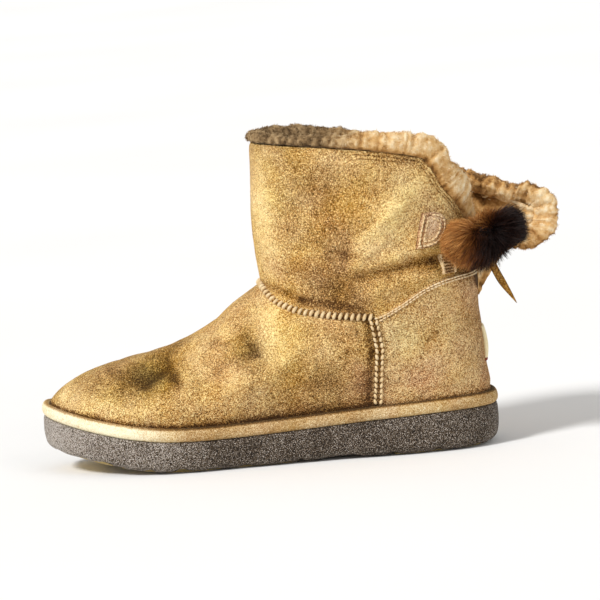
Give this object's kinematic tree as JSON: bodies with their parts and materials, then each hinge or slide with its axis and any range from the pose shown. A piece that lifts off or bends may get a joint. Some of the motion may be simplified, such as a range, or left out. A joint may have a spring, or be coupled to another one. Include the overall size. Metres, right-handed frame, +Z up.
{
  "type": "sheepskin boot",
  "caption": "Short pull-on sheepskin boot for the left foot, with a split back, fleece edges, a fur bow, raised seams and a thick flat sole.",
  "frame": {"origin": "on the floor, in the middle of the heel's tread, 40 mm in front of the welt's back", "axes": "+X to the toe, +Y to the boot's outer (left) side, +Z up from the floor"},
  "size_m": [0.3121, 0.1069, 0.193],
  "materials": {
    "suede": "brushed suede",
    "counter_suede": "brushed suede",
    "welt": "brushed suede over foam",
    "outsole": "pebbled foam",
    "tread": "matt gum",
    "footbed": "wool",
    "wool": "curly fleece",
    "fur": "long fur",
    "cord_leather": "smooth",
    "label": "woven"
  },
  "bodies": {
    "root": {"upper": "suede", "ankle_seam": "suede", "side_seam_left": "suede", "side_seam_right": "suede", "heel_counter": "counter_suede", "tab_left": "counter_suede", "tab_right": "counter_suede", "split_strip": "counter_suede", "heel_label": "label", "welt": "welt", "outsole": "outsole", "insole": "footbed", "tread_heel_rear": "tread", "tread_heel_front": "tread", "tread_arch": "tread", "tread_ball_rear": "tread", "tread_ball_front": "tread", "tread_toe_rear": "tread", "tread_toe": "tread", "fleece_edge": "wool", "bow_lobe_outer": "fur", "bow_lobe_inner": "fur", "bow_knot": "fur", "bow_tail": "cord_leather"}
  },
  "joints": []
}
